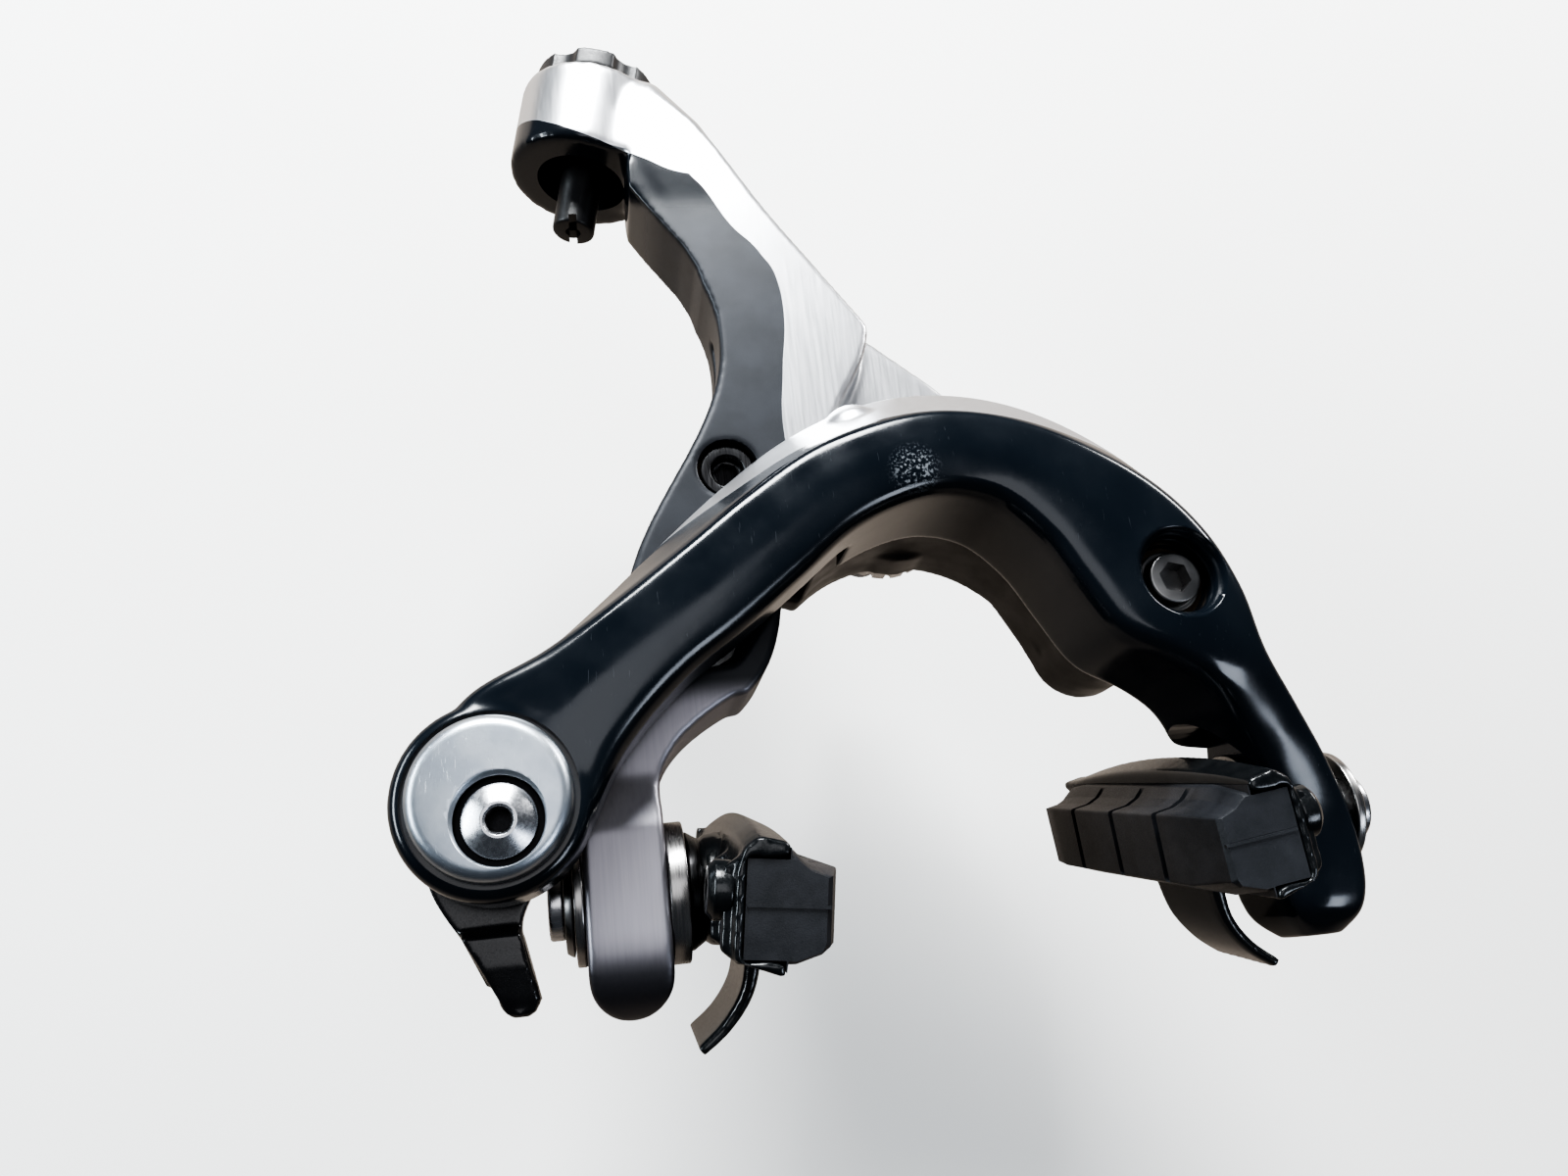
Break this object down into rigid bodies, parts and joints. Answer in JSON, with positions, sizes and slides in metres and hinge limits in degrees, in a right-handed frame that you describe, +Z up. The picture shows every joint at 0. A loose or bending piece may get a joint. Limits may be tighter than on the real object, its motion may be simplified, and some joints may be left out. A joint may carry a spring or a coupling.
{
  "type": "rim brake caliper",
  "caption": "Dual-pivot side-pull rim brake caliper: two linked arms on a bridge, with cartridge shoes, a barrel adjuster and a cam quick release.",
  "frame": {"origin": "on the mounting bolt's axis, in the seat face that meets the bicycle's brake bridge", "axes": "+Y runs back along the mounting bolt into the bicycle, +Z is up away from the wheel, +X is the right of a viewer facing the arch"},
  "size_m": [0.1, 0.0533, 0.1162],
  "materials": {
    "arch_paint": "gloss navy-black paint over a forged alloy arm, with a satin silver band",
    "arm_satin": "satin dark grey-blue anodising beside brushed silver",
    "bridge_dark": "satin dark grey",
    "steel": "turned",
    "dark_steel": "blackened steel",
    "bronze": "plain bearing bronze",
    "spring_steel": "drawn wire",
    "grey_plastic": "light grey moulded",
    "knob_plastic": "black moulded",
    "rubber_ring": "black",
    "disc_alloy": "satin turned aluminium",
    "cap_screw": "bright turned",
    "lever_black": "satin black",
    "holder_black": "glossy black cast cartridge",
    "pad_rubber": "moulded friction rubber",
    "washer_black": "gloss black",
    "washer_steel": "bright steel"
  },
  "bodies": {
    "bridge": {"bridge": "bridge_dark", "mounting_bolt": "steel", "seat_washer": "steel", "right_pivot_bolt": "dark_steel", "left_pivot_bolt": "dark_steel", "right_thrust_washer": "steel", "left_thrust_washer": "steel"},
    "right_arm": {"right_arm": "arch_paint", "right_pivot_bush": "bronze", "link_pin": "steel"},
    "link_roller": {"link_roller": "steel"},
    "left_arm": {"left_arm": "arm_satin", "left_pivot_bush": "bronze", "spring_slider": "grey_plastic", "return_spring": "spring_steel", "adjuster_insert": "bronze"},
    "centring_screw": {"centring_screw": "dark_steel"},
    "adjuster_barrel": {"adjuster_barrel": "knob_plastic"},
    "adjuster_knob": {"adjuster_knob": "knob_plastic", "adjuster_o_ring": "rubber_ring"},
    "quick_release": {"cam_disc": "disc_alloy", "quick_release_lever": "lever_black", "anchor_bolt": "cap_screw", "cable_clamp_plate": "steel", "anchor_nut": "steel"},
    "left_shoe": {"left_shoe_holder": "holder_black", "left_brake_pad": "pad_rubber", "left_pad_screw": "washer_black", "left_shoe_bolt": "washer_steel", "left_inner_dished_washer": "washer_steel", "left_inner_domed_washer": "washer_black", "left_outer_dished_washer": "washer_steel", "left_outer_domed_washer": "washer_steel"},
    "right_shoe": {"right_shoe_holder": "holder_black", "right_brake_pad": "pad_rubber", "right_pad_screw": "washer_black", "right_shoe_bolt": "washer_steel", "right_inner_dished_washer": "washer_steel", "right_inner_domed_washer": "washer_black", "right_outer_dished_washer": "washer_steel", "right_outer_domed_washer": "washer_steel"}
  },
  "joints": [
    {"name": "right_arm_swing", "type": "hinge", "parent": "bridge", "child": "right_arm", "pos_m": [0.022, 0, -0.0195], "axis": [0, 1, 0], "range_deg": [0, 18], "stiffness_Nm_per_rad": 0.6, "springref_deg": -11.46},
    {"name": "left_arm_swing", "type": "hinge", "parent": "bridge", "child": "left_arm", "pos_m": [-0.022, 0, -0.0015], "axis": [0, 1, 0], "range_deg": [-10.5, 0]},
    {"name": "link_roller_spin", "type": "hinge", "parent": "right_arm", "child": "link_roller", "pos_m": [0.0059, -0.015, -0.0025], "axis": [0, 1, 0], "continuous": true},
    {"name": "quick_release_turn", "type": "hinge", "parent": "right_arm", "child": "quick_release", "pos_m": [-0.0475, -0.03, -0.0363], "axis": [0, 1, 0], "range_deg": [0, 95]},
    {"name": "barrel_rise", "type": "slide", "parent": "left_arm", "child": "adjuster_barrel", "axis": [0.1959, 0, 0.9806], "range_m": [0, 0.003]},
    {"name": "knob_turn", "type": "hinge", "parent": "adjuster_barrel", "child": "adjuster_knob", "pos_m": [-0.03275, -0.016, 0.05305], "axis": [0.1959, 0, 0.9806], "range_deg": [0, 1080]},
    {"name": "centring_screw_turn", "type": "hinge", "parent": "left_arm", "child": "centring_screw", "pos_m": [0.0059, -0.0153, 0.005], "axis": [0, 0, 1], "range_deg": [-180, 180]},
    {"name": "left_shoe_height", "type": "slide", "parent": "left_arm", "child": "left_shoe", "axis": [0, 0, 1], "range_m": [-0.003, 0.0036]},
    {"name": "right_shoe_height", "type": "slide", "parent": "right_arm", "child": "right_shoe", "axis": [0, 0, 1], "range_m": [-0.0046, 0.0018]}
  ],
  "couplings": [
    {"joint": "left_arm_swing", "follows": "right_arm_swing", "ratio": -0.577},
    {"joint": "knob_turn", "follows": "barrel_rise", "rad_per_m": 6283.2}
  ]
}
